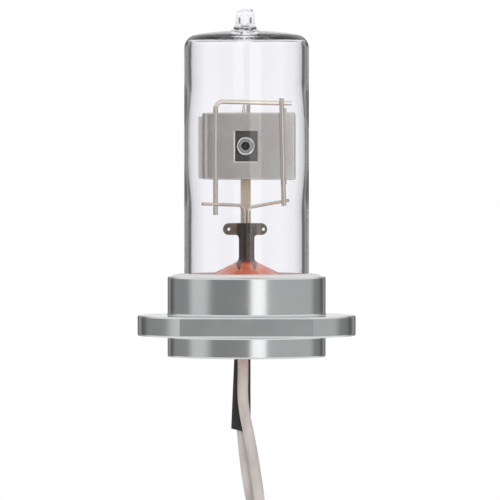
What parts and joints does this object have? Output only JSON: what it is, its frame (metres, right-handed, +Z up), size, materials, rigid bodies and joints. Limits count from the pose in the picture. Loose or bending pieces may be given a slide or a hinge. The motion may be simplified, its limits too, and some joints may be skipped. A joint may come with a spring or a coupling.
{
  "type": "deuterium lamp",
  "caption": "Deuterium arc lamp: a quartz bulb with a folded electrode box inside, on an aluminium flange with two flats, with tied leads and a plug below.",
  "frame": {"origin": "On the lamp's axis, in the plane of the flange's upper face, which seats in the lamp house, midway between the two screw holes.", "axes": "+Z runs up the bulb's axis, -Y is the side that the window of the electrode box faces, and +X runs along the line of the two screw holes, to the right as the window faces the viewer."},
  "size_m": [0.049, 0.039, 0.1819],
  "materials": {
    "turned_aluminium": "fine turning marks, bare",
    "quartz_glass": "clear, fire polished",
    "stem_glass": "clear below, smoky brown at the press",
    "red_silicone": "cast, matte",
    "nickel_sheet": "annealed nickel, satin",
    "nickel_wire": "drawn, satin",
    "cream_ceramic": "pressed and fired, matte",
    "dark_aperture": "molybdenum, satin",
    "oxide_tungsten": "tungsten with a pale oxide coat",
    "grey_lead": "warm grey insulation, satin",
    "tinned_copper": "tinned",
    "black_sleeve": "matte",
    "white_nylon": "moulded, satin",
    "tie_nylon": "moulded"
  },
  "bodies": {
    "root": {"base_flange": "turned_aluminium", "glass_bulb": "quartz_glass", "glass_stem": "stem_glass", "silicone_filling": "red_silicone", "front_shield": "nickel_sheet", "rear_cover": "nickel_sheet", "front_ceramic": "cream_ceramic", "rear_ceramic": "cream_ceramic", "aperture_plate": "dark_aperture", "aperture_cup": "dark_aperture", "arc_funnel": "dark_aperture", "anode_plate": "dark_aperture", "stack_eyelets": "nickel_wire", "cathode_coil": "oxide_tungsten", "cathode_post": "nickel_wire", "cathode_partition": "nickel_sheet", "left_rod": "nickel_wire", "right_rod": "nickel_wire", "left_support_wire": "nickel_wire", "right_support_wire": "nickel_wire", "heater_wire": "nickel_wire", "anode_strap": "nickel_sheet", "top_pin": "nickel_wire", "tie_ribbon": "nickel_sheet", "lead_crimps": "tinned_copper", "front_lead": "grey_lead", "sleeved_lead": "grey_lead", "rear_lead": "grey_lead", "black_sleeve": "black_sleeve", "lead_hank": "grey_lead", "hank_tie": "tie_nylon", "connector_housing": "white_nylon", "connector_contacts": "tinned_copper"}
  },
  "joints": []
}
